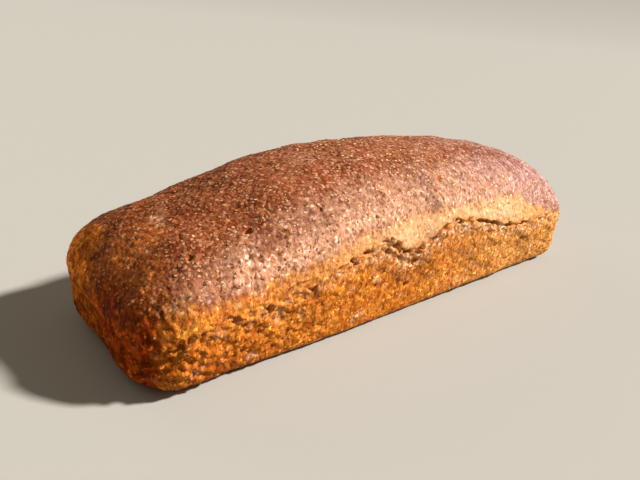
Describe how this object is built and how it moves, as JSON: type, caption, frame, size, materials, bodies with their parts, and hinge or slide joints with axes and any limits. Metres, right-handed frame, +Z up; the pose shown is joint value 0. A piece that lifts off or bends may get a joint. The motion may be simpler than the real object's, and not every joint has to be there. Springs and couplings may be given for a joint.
{
  "type": "tin loaf",
  "caption": "Long narrow wholemeal loaf baked in a tin: flat base, upright walls, low rounded crown, and a crust torn open along one side.",
  "frame": {"origin": "on the surface that the loaf stands on, under the middle of its length and its width", "axes": "+X along the loaf's length, +Z up, the torn side faces -Y"},
  "size_m": [0.28, 0.09, 0.0731],
  "materials": {
    "crust": "matte"
  },
  "bodies": {
    "root": {"loaf": "crust"}
  },
  "joints": []
}
